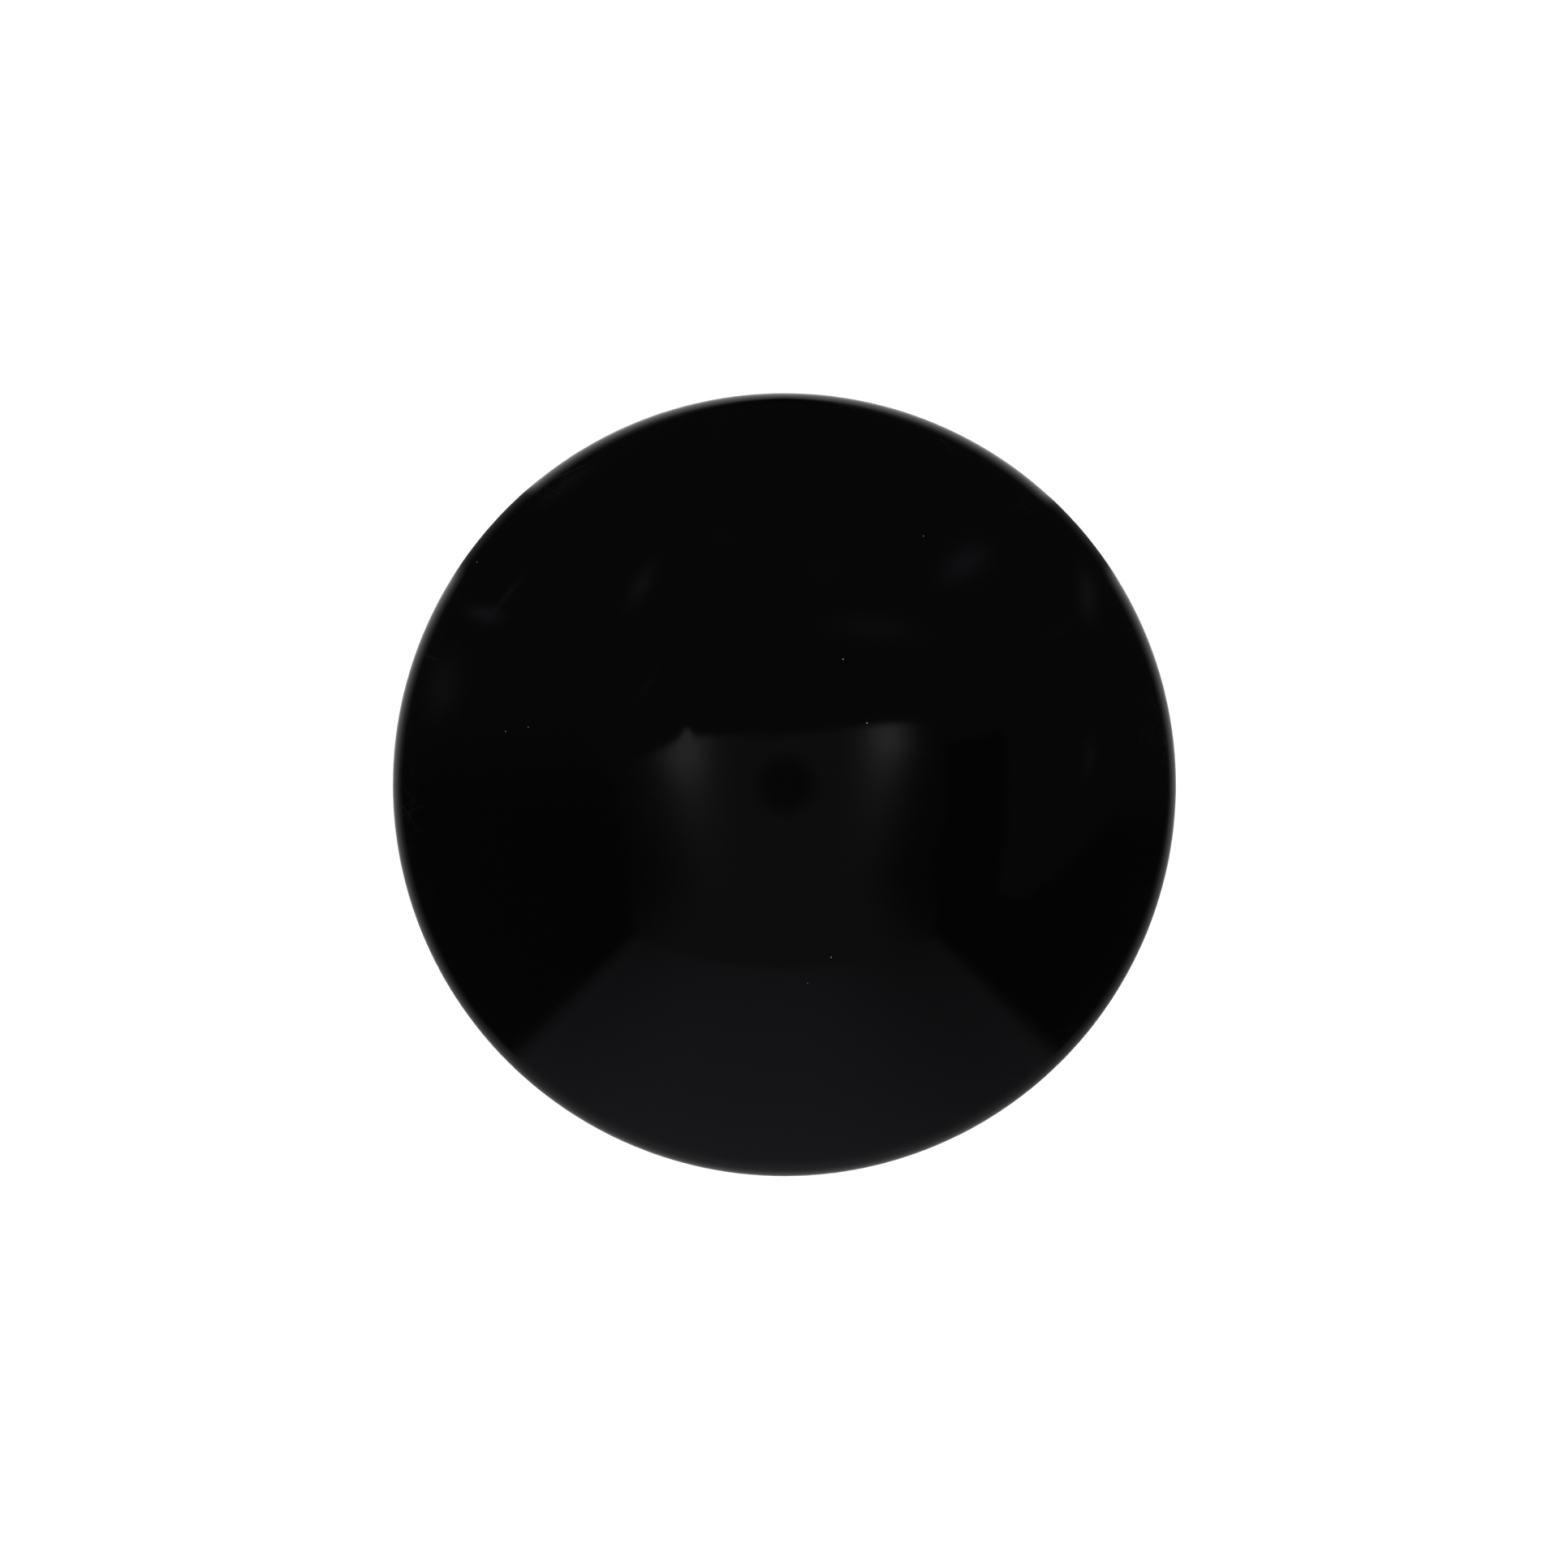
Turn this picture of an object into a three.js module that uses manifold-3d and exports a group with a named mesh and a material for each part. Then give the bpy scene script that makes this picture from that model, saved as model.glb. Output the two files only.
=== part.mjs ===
// Weighted dealer button: a glossy domed top screwed to a base plate, with a steel weight
// inside and a felt pad underneath. Millimetres, +Z up. The origin is on the table, under
// the middle of the felt, and the whole button is round about Z.

import * as THREE from 'three';
import { mergeVertices } from 'three/addons/utils/BufferGeometryUtils.js';
import Module from 'manifold-3d';

// ---------- Driving dimensions ----------

// Outer form
const BUTTON_D = 76.2; // across the widest level
const CROWN_R = 55.2; // radius of the spherical top
const EDGE_R = 2.4; // round between the top and the side
const SIDE_H = 2.6; // straight side below the edge round
const SIDE_FOOT_R = 0.5; // round at the foot of the side
const WALL_T = 2.4; // wall of the dome

// Base plate
const FLANGE_INSET = 0.7; // how far the base stays inside the dome's side
const FLANGE_T = 1.4;
const FLANGE_CHAMFER = 0.5;
const PARTING_GAP = 0.3; // shadow line between the dome and the flange
const FLOOR_T = 1.8;
const SPIGOT_T = 1.6; // ring that centres the dome
const SPIGOT_CHAMFER = 0.4;
const SPIGOT_HEADROOM = 0.5; // from the spigot's top up to the widest level
const FELT_RIM_W = 2.9; // flat rim of the base round the felt's recess

// Felt pad and its adhesive film
const FELT_T = 1.2;
const FELT_PROUD = 0.6; // how far the felt stands below the base
const FILM_T = 0.2;
const FILM_INSET = 0.4;

// Screws, from below into bosses of the dome
const SCREW_COUNT = 3;
const SCREW_EDGE = 1.8; // from the spigot to the screw wells
const SCREW_R = 1.4;
const SCREW_CORE_R = 1.1;
const SCREW_THREAD_STEP = 1.0;
const SCREW_TIP_L = 1.2;
const HEAD_R = 2.8;
const HEAD_H = 1.8;
const HEAD_ROUND_R = 0.9;
const CROSS_L = 3.0;
const CROSS_W = 0.8;
const CROSS_DEPTH = 1.1;
const SEAT_T = 1.6; // plastic between the head and the boss
const WELL_WALL_T = 1.4;
const BOSS_R = 3.4;
const PILOT_SPARE_L = 0.5; // hole beyond the screw's tip
const PILOT_ROOF_T = 2.1; // plastic left above the hole

// Weight and damper
const WEIGHT_T = 6.0;
const WEIGHT_CHAMFER = 0.6;
const PIN_R = 3.0; // locating pin in the weight's bore
const PIN_H = 4.0;
const FENCE_T = 1.0; // low ring round the weight
const FENCE_H = 1.5;
const DAMPER_INSET = 4.0; // from the weight's edge
const DAMPER_T = 2.0;

// Ribs inside the dome
const HOLD_INSET = 6.2; // from the damper's edge to the ring that holds it down
const HOLD_T = 1.6;
const WEB_T = 1.4; // webs from the ring to the bosses
const WEB_RISE = 1.2; // above the damper

// Clearances
const CONTACT_GAP = 0.05; // between faces that rest on each other
const SLIDE_GAP = 0.15; // round the spigot, the weight and the pin
const HEAD_GAP = 0.4; // round and below a screw head
const SHANK_GAP = 0.25; // round a screw in the base
const PILOT_GAP = 0.1; // round a screw in its boss
const FELT_GAP = 0.3; // round the felt
const WEIGHT_GAP = 0.6; // from the fence to the screw wells

// Fineness of the round surfaces
const TURN_STEPS = 72;
const SMALL_TURN_STEPS = 16;
const CROWN_STEPS = 9;
const ROUND_STEPS = 4;

// How far a solid that joins or cuts another runs into or past it
const OVERRUN = 0.9;

// ---------- Worked-out places ----------

const BUTTON_R = BUTTON_D / 2;
const FLANGE_R = BUTTON_R - FLANGE_INSET;
const RECESS_R = FLANGE_R - FELT_RIM_W;
const FELT_R = RECESS_R - FELT_GAP;
const UNDERSIDE_Z = FELT_PROUD;
const FLANGE_TOP_Z = UNDERSIDE_Z + FLANGE_T;
const SIDE_FOOT_Z = FLANGE_TOP_Z + PARTING_GAP;
const WIDEST_Z = SIDE_FOOT_Z + SIDE_H;
const RECESS_Z = FELT_T + FILM_T + 2 * CONTACT_GAP;
const FLOOR_Z = RECESS_Z + FLOOR_T;

// The crown and the edge round touch where the crown leans by EDGE_ANGLE.
const EDGE_CENTRE_R = BUTTON_R - EDGE_R;
const EDGE_ANGLE = Math.asin(EDGE_CENTRE_R / (CROWN_R - EDGE_R));
const CROWN_CENTRE_Z = WIDEST_Z - (CROWN_R - EDGE_R) * Math.cos(EDGE_ANGLE);
const INNER_R = BUTTON_R - WALL_T;
const INNER_CROWN_R = CROWN_R - WALL_T;
const SPIGOT_R = INNER_R - SLIDE_GAP;
const SPIGOT_TOP_Z = WIDEST_Z - SPIGOT_HEADROOM;

const HEAD_SEAT_Z = RECESS_Z + HEAD_GAP + HEAD_H;
const WELL_TOP_Z = HEAD_SEAT_Z + SEAT_T;
const WELL_BORE_R = HEAD_R + HEAD_GAP;
const WELL_R = WELL_BORE_R + WELL_WALL_T;
const SCREW_PITCH_R = SPIGOT_R - SPIGOT_T - SCREW_EDGE - WELL_R;
const PILOT_R = SCREW_R + PILOT_GAP;
const PILOT_TOP_Z = crownZ(SCREW_PITCH_R + PILOT_R) - PILOT_ROOF_T;
const SCREW_L = PILOT_TOP_Z - PILOT_SPARE_L - HEAD_SEAT_Z;
const FENCE_R = SCREW_PITCH_R - WELL_R - WEIGHT_GAP;
const WEIGHT_R = FENCE_R - FENCE_T - SLIDE_GAP;
const WEIGHT_Z = FLOOR_Z + CONTACT_GAP;
const DAMPER_Z = WEIGHT_Z + WEIGHT_T + CONTACT_GAP;
const DAMPER_TOP_Z = DAMPER_Z + DAMPER_T;
const DAMPER_R = WEIGHT_R - DAMPER_INSET;
const HOLD_R = DAMPER_R - HOLD_INSET;

/** Height of the crown's outside at a radius. */
function crownZ(radius) {
  return CROWN_CENTRE_Z + Math.sqrt(CROWN_R ** 2 - radius ** 2);
}

// ---------- Geometry helpers ----------

const wasm = await Module();
wasm.setup();

const at = (radius, z) => new THREE.Vector2(radius, z);

/** Points of an arc in the (radius, z) half plane. Angles are from the radius axis. */
function arc(radius, z, r, from, to, steps) {
  return Array.from({ length: steps + 1 }, (_, i) => {
    const angle = from + ((to - from) * i) / steps;
    return at(radius + r * Math.cos(angle), z + r * Math.sin(angle));
  });
}

/** Turns an outline round Z. It runs anticlockwise, from axis to axis or back to its start. */
function turned(outline, steps = TURN_STEPS) {
  return new THREE.LatheGeometry(outline, steps).rotateX(Math.PI / 2);
}

/** A round bar or, with a bore, a tube. */
function round(radius, low, high, bore = 0, steps = SMALL_TURN_STEPS) {
  const outline = [at(bore, low), at(radius, low), at(radius, high), at(bore, high)];
  if (bore) outline.push(at(bore, low));
  return turned(outline, steps);
}

/** Joins the vertices that a geometry repeats, and drops triangles with no area. */
function welded(geometry) {
  const bare = geometry.clone();
  bare.deleteAttribute('normal');
  bare.deleteAttribute('uv');
  const merged = mergeVertices(bare);
  const index = merged.index.array;
  const kept = [];
  for (let i = 0; i < index.length; i += 3) {
    const [a, b, c] = [index[i], index[i + 1], index[i + 2]];
    if (a !== b && b !== c && c !== a) kept.push(a, b, c);
  }
  merged.setIndex(kept);
  return merged;
}

function solid(geometry) {
  const { attributes, index } = welded(geometry);
  const mesh = new wasm.Mesh({
    numProp: 3,
    vertProperties: new Float32Array(attributes.position.array),
    triVerts: new Uint32Array(index.array),
  });
  return new wasm.Manifold(mesh);
}

function fromSolid(result) {
  const { vertProperties, triVerts } = result.getMesh();
  const geometry = new THREE.BufferGeometry();
  geometry.setAttribute('position', new THREE.BufferAttribute(vertProperties, 3));
  geometry.setIndex(new THREE.BufferAttribute(triVerts, 1));
  geometry.computeVertexNormals();
  return geometry;
}

const joined = (first, others) => others.reduce((sum, other) => sum.add(other), first);
const cut = (first, others) => others.reduce((rest, other) => rest.subtract(other), first);

const screwAngles = Array.from(
  { length: SCREW_COUNT },
  (_, i) => Math.PI / 2 + (2 * Math.PI * i) / SCREW_COUNT,
);

/** Copies a geometry made round the origin to each screw's place. */
function atScrews(geometry) {
  return screwAngles.map((angle) =>
    solid(geometry.clone().translate(SCREW_PITCH_R, 0, 0).rotateZ(angle)),
  );
}

// ---------- Dome ----------

/** Points of a sphere round the crown's centre, from radius `outer` in to the axis. */
function crownArc(sphereR, outer) {
  const start = Math.acos(outer / sphereR);
  return arc(0, CROWN_CENTRE_Z, sphereR, start, Math.PI / 2, CROWN_STEPS);
}

function domeShell() {
  const inside = crownArc(INNER_CROWN_R, INNER_R).reverse();
  const foot = arc(
    BUTTON_R - SIDE_FOOT_R,
    SIDE_FOOT_Z + SIDE_FOOT_R,
    SIDE_FOOT_R,
    -Math.PI / 2,
    0,
    ROUND_STEPS,
  );
  const edge = arc(EDGE_CENTRE_R, WIDEST_Z, EDGE_R, 0, Math.PI / 2 - EDGE_ANGLE, ROUND_STEPS);
  const crown = crownArc(CROWN_R, CROWN_R * Math.sin(EDGE_ANGLE)).slice(1);
  return turned([...inside, at(INNER_R, SIDE_FOOT_Z), ...foot, ...edge, ...crown]);
}

/** Everything below the middle of the dome's wall, which trims the bosses and ribs. */
function underCrown() {
  const top = crownArc(CROWN_R - WALL_T / 2, INNER_R);
  return turned([at(0, SIDE_FOOT_Z), at(INNER_R, SIDE_FOOT_Z), ...top]);
}

function web() {
  const from = HOLD_R - HOLD_T / 2;
  const low = DAMPER_TOP_Z + WEB_RISE;
  const high = crownZ(0);
  return new THREE.BoxGeometry(SCREW_PITCH_R - from, WEB_T, high - low).translate(
    (from - SCREW_PITCH_R) / 2,
    0,
    (low + high) / 2,
  );
}

function topDome() {
  const above = crownZ(0);
  const bossZ = WELL_TOP_Z + CONTACT_GAP;
  const hold = round(HOLD_R, DAMPER_TOP_Z + CONTACT_GAP, above, HOLD_R - HOLD_T, TURN_STEPS);
  const ribs = joined(solid(hold), [
    ...atScrews(round(BOSS_R, bossZ, above)),
    ...atScrews(web()),
  ]).intersect(solid(underCrown()));
  const pilots = atScrews(round(PILOT_R, bossZ - OVERRUN, PILOT_TOP_Z));
  return fromSolid(cut(solid(domeShell()).add(ribs), pilots));
}

// ---------- Base plate ----------

function basePlate() {
  const plate = turned([
    at(0, RECESS_Z),
    at(RECESS_R, RECESS_Z),
    at(RECESS_R, UNDERSIDE_Z),
    at(FLANGE_R - FLANGE_CHAMFER, UNDERSIDE_Z),
    at(FLANGE_R, UNDERSIDE_Z + FLANGE_CHAMFER),
    at(FLANGE_R, FLANGE_TOP_Z),
    at(SPIGOT_R, FLANGE_TOP_Z),
    at(SPIGOT_R, SPIGOT_TOP_Z - SPIGOT_CHAMFER),
    at(SPIGOT_R - SPIGOT_CHAMFER, SPIGOT_TOP_Z),
    at(SPIGOT_R - SPIGOT_T, SPIGOT_TOP_Z),
    at(SPIGOT_R - SPIGOT_T, FLOOR_Z),
    at(0, FLOOR_Z),
  ]);
  const low = FLOOR_Z - OVERRUN;
  const raised = [
    solid(round(FENCE_R, low, FLOOR_Z + FENCE_H, FENCE_R - FENCE_T, TURN_STEPS)),
    solid(round(PIN_R, low, FLOOR_Z + PIN_H)),
    ...atScrews(round(WELL_R, low, WELL_TOP_Z)),
  ];
  const holes = [
    ...atScrews(round(WELL_BORE_R, RECESS_Z - OVERRUN, HEAD_SEAT_Z)),
    ...atScrews(round(SCREW_R + SHANK_GAP, RECESS_Z, WELL_TOP_Z + OVERRUN)),
  ];
  return fromSolid(cut(joined(solid(plate), raised), holes));
}

// ---------- Weight, damper, felt ----------

function weightDisc() {
  const bore = PIN_R + SLIDE_GAP;
  const top = WEIGHT_Z + WEIGHT_T;
  return turned([
    at(bore, WEIGHT_Z),
    at(WEIGHT_R - WEIGHT_CHAMFER, WEIGHT_Z),
    at(WEIGHT_R, WEIGHT_Z + WEIGHT_CHAMFER),
    at(WEIGHT_R, top - WEIGHT_CHAMFER),
    at(WEIGHT_R - WEIGHT_CHAMFER, top),
    at(bore, top),
    at(bore, WEIGHT_Z),
  ]);
}

const damperPad = () => round(DAMPER_R, DAMPER_Z, DAMPER_TOP_Z, 0, TURN_STEPS);
const feltPad = () => round(FELT_R, 0, FELT_T, 0, TURN_STEPS);

function adhesiveFilm() {
  const low = FELT_T + CONTACT_GAP;
  return round(FELT_R - FILM_INSET, low, low + FILM_T, 0, TURN_STEPS);
}

// ---------- Screw ----------

/** Thread crests and roots from the head's seat to the tip, as a stack of ridges. */
function threadOutline() {
  const count = Math.floor((SCREW_L - SCREW_TIP_L) / SCREW_THREAD_STEP);
  const outline = [];
  for (let i = 0; i < count; i += 1) {
    outline.push(at(SCREW_CORE_R, i * SCREW_THREAD_STEP));
    outline.push(at(SCREW_R, (i + 0.5) * SCREW_THREAD_STEP));
  }
  return [...outline, at(SCREW_CORE_R, SCREW_L - SCREW_TIP_L), at(0, SCREW_L)];
}

/** A pan-head self-tapping screw, point up, with z = 0 under its head. */
function screw() {
  const head = arc(
    HEAD_R - HEAD_ROUND_R,
    HEAD_ROUND_R - HEAD_H,
    HEAD_ROUND_R,
    -Math.PI / 2,
    0,
    ROUND_STEPS,
  );
  const outline = [at(0, -HEAD_H), ...head, at(HEAD_R, 0), ...threadOutline()];
  const body = turned(outline, SMALL_TURN_STEPS);
  const bar = new THREE.BoxGeometry(CROSS_L, CROSS_W, 2 * CROSS_DEPTH).translate(0, 0, -HEAD_H);
  const crossed = bar.clone().rotateZ(Math.PI / 2);
  return fromSolid(cut(solid(body), [solid(bar), solid(crossed)]));
}

// ---------- Assembly ----------

function piece(name, geometry, color, roughness, metalness = 0) {
  const material = new THREE.MeshStandardMaterial({ color, roughness, metalness });
  const mesh = new THREE.Mesh(geometry, material);
  mesh.name = name;
  return mesh;
}

function screws() {
  const set = new THREE.Group();
  screwAngles.forEach((angle, i) => {
    const holder = new THREE.Group();
    const mesh = piece(`screw_${i + 1}`, screw(), 0xb9bcc0, 0.35, 1);
    mesh.position.set(SCREW_PITCH_R, 0, HEAD_SEAT_Z - CONTACT_GAP);
    holder.rotation.z = angle;
    holder.add(mesh);
    set.add(holder);
  });
  return set;
}

const group = new THREE.Group();
group.add(
  piece('top_dome', topDome(), 0x050506, 0.08),
  piece('damper_pad', damperPad(), 0x2b2c2e, 0.95),
  piece('weight_disc', weightDisc(), 0x8d9094, 0.4, 1),
  piece('base_plate', basePlate(), 0x0b0b0c, 0.45),
  screws(),
  piece('adhesive_film', adhesiveFilm(), 0xd9cfae, 0.5),
  piece('felt_pad', feltPad(), 0x101112, 1),
);

export default group;
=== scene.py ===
"""The looks of the dealer button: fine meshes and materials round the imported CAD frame,
and a studio that shows it from straight above. Blender 4.5, metres, +Z up."""

import math

import bmesh
import bpy
from mathutils import Matrix, Vector, noise


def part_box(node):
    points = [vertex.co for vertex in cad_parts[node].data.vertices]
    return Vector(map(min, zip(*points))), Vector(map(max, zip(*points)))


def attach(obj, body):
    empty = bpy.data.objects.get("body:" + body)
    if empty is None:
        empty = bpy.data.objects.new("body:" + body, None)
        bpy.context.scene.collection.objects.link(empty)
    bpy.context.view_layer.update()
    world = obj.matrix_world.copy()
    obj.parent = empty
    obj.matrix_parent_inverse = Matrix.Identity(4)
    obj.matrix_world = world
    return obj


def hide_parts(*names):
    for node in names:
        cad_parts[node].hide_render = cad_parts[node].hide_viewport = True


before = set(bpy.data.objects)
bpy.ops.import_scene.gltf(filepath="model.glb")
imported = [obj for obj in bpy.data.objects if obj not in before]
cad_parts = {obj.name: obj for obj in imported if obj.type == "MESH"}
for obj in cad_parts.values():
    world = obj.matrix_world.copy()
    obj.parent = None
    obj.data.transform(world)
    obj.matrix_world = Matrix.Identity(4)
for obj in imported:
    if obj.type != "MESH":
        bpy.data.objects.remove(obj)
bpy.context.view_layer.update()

MM = 0.001

# ---------- Sizes: from the frame, with the few that a box can't tell ----------

# The dome
CROWN_R = 55.2 * MM
EDGE_R = 2.4 * MM
WALL_T = 2.4 * MM
SIDE_FOOT_R = 0.5 * MM
INNER_EDGE_R = 1.2 * MM
BOSS_R = 3.4 * MM
HOLD_T = 1.6 * MM
HOLD_INSET = 6.2 * MM
WEB_T = 1.4 * MM
WEB_RISE = 1.2 * MM
PILOT_GAP = 0.1 * MM
PILOT_SPARE_L = 0.5 * MM

# The base plate
FLANGE_T = 1.4 * MM
FLANGE_CHAMFER = 0.5 * MM
SPIGOT_T = 1.6 * MM
SPIGOT_HEADROOM = 0.5 * MM
SEAT_T = 1.6 * MM
WELL_WALL_T = 1.4 * MM
HEAD_GAP = 0.4 * MM
SHANK_GAP = 0.25 * MM
PIN_R = 3.0 * MM
PIN_ROUND = 0.4 * MM
FENCE_T = 1.0 * MM
FENCE_H = 1.5 * MM
SMALL_ROUND = 0.2 * MM

# The screws
SCREW_R = 1.4 * MM
SCREW_CORE_R = 1.1 * MM
SCREW_PITCH = 1.0 * MM
SCREW_TIP_L = 1.2 * MM
HEAD_H = 1.8 * MM
HEAD_ROUND_R = 0.9 * MM
CROSS_L = 3.0 * MM
CROSS_W = 0.75 * MM
CROSS_DEPTH = 1.15 * MM

# Clearances
CONTACT_GAP = 0.05 * MM
SLIDE_GAP = 0.15 * MM
FELT_GAP = 0.3 * MM

DOME_LOW, DOME_HIGH = (Vector(p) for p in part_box("top_dome"))
BASE_LOW, BASE_HIGH = (Vector(p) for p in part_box("base_plate"))
FELT_LOW, FELT_HIGH = (Vector(p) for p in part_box("felt_pad"))
FILM_LOW, FILM_HIGH = (Vector(p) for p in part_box("adhesive_film"))
WEIGHT_LOW, WEIGHT_HIGH = (Vector(p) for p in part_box("weight_disc"))
DAMPER_LOW, DAMPER_HIGH = (Vector(p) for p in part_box("damper_pad"))
SCREW_BOXES = {
    name: [Vector(p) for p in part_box(name)] for name in ("screw_1", "screw_2", "screw_3")
}

BUTTON_R = DOME_HIGH.x
EDGE_CENTRE_R = BUTTON_R - EDGE_R
EDGE_ANGLE = math.asin(EDGE_CENTRE_R / (CROWN_R - EDGE_R))
CROWN_CENTRE_Z = DOME_HIGH.z - CROWN_R
WIDEST_Z = CROWN_CENTRE_Z + (CROWN_R - EDGE_R) * math.cos(EDGE_ANGLE)
INNER_R = BUTTON_R - WALL_T
INNER_CROWN_R = CROWN_R - WALL_T
FLANGE_R = BASE_HIGH.x
FELT_R = FELT_HIGH.x
RECESS_R = FELT_R + FELT_GAP
RECESS_Z = FILM_HIGH.z + CONTACT_GAP
FLOOR_Z = WEIGHT_LOW.z - CONTACT_GAP
SPIGOT_R = INNER_R - SLIDE_GAP
WEIGHT_R = WEIGHT_HIGH.x
HEAD_R = (SCREW_BOXES["screw_1"][1].x - SCREW_BOXES["screw_1"][0].x) / 2
HEAD_SEAT_Z = SCREW_BOXES["screw_1"][0].z + HEAD_H + CONTACT_GAP
SCREW_TIP_Z = SCREW_BOXES["screw_1"][1].z
WELL_TOP_Z = HEAD_SEAT_Z + SEAT_T
WELL_R = HEAD_R + HEAD_GAP + WELL_WALL_T

# Fineness
TURN_STEPS = 240
SMALL_TURN_STEPS = 64
CROWN_STEPS = 72
EDGE_STEPS = 20
ROUND_STEPS = 5

# Two points closer than this are one, and a smaller radius is on the axis.
SAME_PLACE, ON_AXIS = 1e-7, 1e-9
SHARP_ANGLE = math.radians(32)


def screw_places():
    """Each screw's name, place in plan and turn round Z."""
    for name, (low, high) in SCREW_BOXES.items():
        middle = (low + high) / 2
        yield name, Vector((middle.x, middle.y, 0)), math.atan2(middle.y, middle.x)


# ---------- Mesh helpers ----------


def piece(name, data):
    """An object in the scene, from a mesh, a camera or a light."""
    obj = bpy.data.objects.new(name, data)
    bpy.context.scene.collection.objects.link(obj)
    return obj


def meshed(name, bm):
    """An object in the scene, from a bmesh that isn't needed any more."""
    mesh = bpy.data.meshes.new(name)
    bm.to_mesh(mesh)
    bm.free()
    return piece(name, mesh)


def arc(radius, z, r, start, end, steps):
    """Points of an arc in the (radius, z) half plane, angles in radians from +radius."""
    angles = [start + (end - start) * i / steps for i in range(steps + 1)]
    return [(radius + r * math.cos(a), z + r * math.sin(a)) for a in angles]


def rounded(corners, steps=ROUND_STEPS):
    """An outline whose corners (radius, z, round) become arcs. A round of 0 stays sharp."""
    points = []
    for i, (x, z, r) in enumerate(corners):
        if not r:
            points.append((x, z))
            continue
        here = Vector((x, z))
        back = (Vector(corners[i - 1][:2]) - here).normalized()
        ahead = (Vector(corners[(i + 1) % len(corners)][:2]) - here).normalized()
        half = back.angle(ahead) / 2
        centre = here + (back + ahead).normalized() * r / math.sin(half)
        first = here + back * r / math.tan(half) - centre
        last = here + ahead * r / math.tan(half) - centre
        sweep = first.angle_signed(last)
        for k in range(steps + 1):
            turn = Matrix.Rotation(-sweep * k / steps, 2)
            points.append(tuple(centre + turn @ first))
    return points


def revolve(outline, steps=TURN_STEPS, closed=False):
    """A bmesh of the outline turned round Z. An outline point on the axis is one vertex."""
    bm = bmesh.new()
    angles = [math.tau * k / steps for k in range(steps)]
    rings = []
    for radius, z in outline:
        ring = angles[:1] if radius < ON_AXIS else angles
        rings.append([bm.verts.new((radius * math.cos(a), radius * math.sin(a), z)) for a in ring])
    pairs = list(zip(rings, rings[1:]))
    if closed:
        pairs.append((rings[-1], rings[0]))
    for low, high in pairs:
        for k in range(steps):
            around = [low[k % len(low)], low[(k + 1) % len(low)]]
            around += [high[(k + 1) % len(high)], high[k % len(high)]]
            corners = list(dict.fromkeys(around))
            if len(corners) > 2:
                bm.faces.new(corners)
    bmesh.ops.recalc_face_normals(bm, faces=bm.faces)
    return bm


def turned(name, outline, steps=TURN_STEPS, closed=False):
    """An object in the shape of the outline turned round Z."""
    return meshed(name, revolve(outline, steps, closed))


def bar(name, radius, low, high, place=Vector(), bore=0.0, steps=SMALL_TURN_STEPS):
    """A plain round bar or tube that joins or cuts another piece."""
    outline = [(bore, low), (radius, low), (radius, high), (bore, high)]
    obj = turned(name, outline, steps, closed=bore > 0)
    obj.data.transform(Matrix.Translation(place))
    return obj


def block(name, low, high, turn=0.0):
    """A plain box from corner to corner, then turned round Z."""
    bm = bmesh.new()
    bmesh.ops.create_cube(bm, size=1)
    size, middle = high - low, (low + high) / 2
    grow = Matrix.Diagonal((*size, 1))
    bm.transform(Matrix.Rotation(turn, 4, "Z") @ Matrix.Translation(middle) @ grow)
    return meshed(name, bm)


def carve(target, others, operation):
    """Joins others to target, cuts them from it or keeps what they share, and removes them."""
    for other in others:
        step = target.modifiers.new("carve", "BOOLEAN")
        step.operation = operation
        step.solver = "EXACT"
        step.object = other
    settled(target)
    for other in others:
        bpy.data.objects.remove(other)
    return target


def settled(obj):
    """Applies the object's modifiers to its mesh."""
    shown = obj.evaluated_get(bpy.context.evaluated_depsgraph_get())
    mesh = bpy.data.meshes.new_from_object(shown)
    obj.modifiers.clear()
    old, obj.data = obj.data, mesh
    bpy.data.meshes.remove(old)
    return obj


def smooth(obj, sharp=SHARP_ANGLE):
    """Smooth shading, with edges over an angle kept sharp, and any face that a join lost
    put back."""
    bm = bmesh.new()
    bm.from_mesh(obj.data)
    bmesh.ops.remove_doubles(bm, verts=bm.verts, dist=SAME_PLACE)
    bmesh.ops.dissolve_degenerate(bm, edges=bm.edges, dist=SAME_PLACE)
    lost = [edge for edge in bm.edges if edge.is_boundary]
    if lost:
        bmesh.ops.holes_fill(bm, edges=lost, sides=4)
        bmesh.ops.recalc_face_normals(bm, faces=bm.faces)
    for face in bm.faces:
        face.smooth = True
    for edge in bm.edges:
        edge.smooth = len(edge.link_faces) == 2 and edge.calc_face_angle() < sharp
    bm.to_mesh(obj.data)
    bm.free()
    return obj


def finished(obj, node, material):
    """Gives a piece its finish, hangs it from the root body and hides the CAD node it replaces."""
    obj.data.materials.clear()
    obj.data.materials.append(material)
    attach(obj, "root")
    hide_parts(node)
    return obj


# ---------- Dome ----------


def crown_arc(radius, outer, steps):
    """Points of a sphere round the crown's centre, from a plan radius in to the axis."""
    points = arc(0, CROWN_CENTRE_Z, radius, math.acos(outer / radius), math.pi / 2, steps)
    return [*points[:-1], (0.0, CROWN_CENTRE_Z + radius)]


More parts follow.
